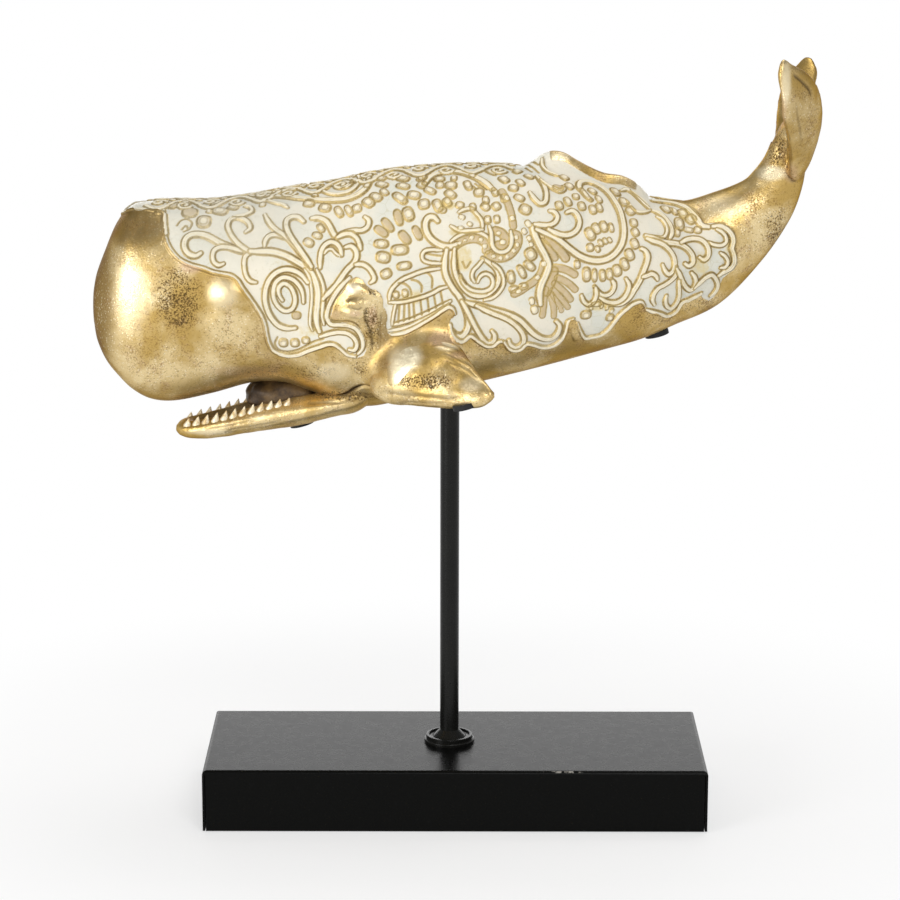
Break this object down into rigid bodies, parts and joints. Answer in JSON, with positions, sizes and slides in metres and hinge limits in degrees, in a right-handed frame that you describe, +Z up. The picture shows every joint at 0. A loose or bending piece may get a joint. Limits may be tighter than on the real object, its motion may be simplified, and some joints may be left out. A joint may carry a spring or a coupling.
{
  "type": "whale figurine",
  "caption": "Gilded sperm whale ornament with cream scroll relief on its back, held on a slim black post over a low rectangular box base.",
  "frame": {"origin": "middle of the felt face that the base rests on", "axes": "+X along the base towards the whale's tail, +Y across the base away from the viewer, +Z up"},
  "size_m": [0.3569, 0.1282, 0.3815],
  "materials": {
    "coated_resin": "gold leaf on the head, belly and tail, cream coat over raised scroll relief on back and flanks",
    "gilded_resin": "satin gold leaf with worn brown speckle",
    "pad_rubber": "matt black",
    "black_steel": "gloss black",
    "coated_sheet": "satin black powder coat",
    "fibreboard": "raw fibreboard",
    "felt": "black felt",
    "zinc_steel": "zinc plated"
  },
  "bodies": {
    "root": {"whale_body": "coated_resin", "belly_plug": "gilded_resin", "threaded_insert": "zinc_steel", "lower_jaw": "gilded_resin", "flipper_left": "gilded_resin", "flipper_right": "gilded_resin", "tail_flukes": "gilded_resin", "pad_jaw": "pad_rubber", "pad_belly": "pad_rubber", "pad_flipper_left": "pad_rubber", "pad_flipper_right": "pad_rubber", "post": "black_steel", "dished_washer": "black_steel", "seat_ring": "black_steel", "base_cover": "coated_sheet", "base_board": "fibreboard", "base_felt": "felt", "flat_washer": "zinc_steel", "spring_washer": "zinc_steel", "hex_nut": "zinc_steel"}
  },
  "joints": []
}
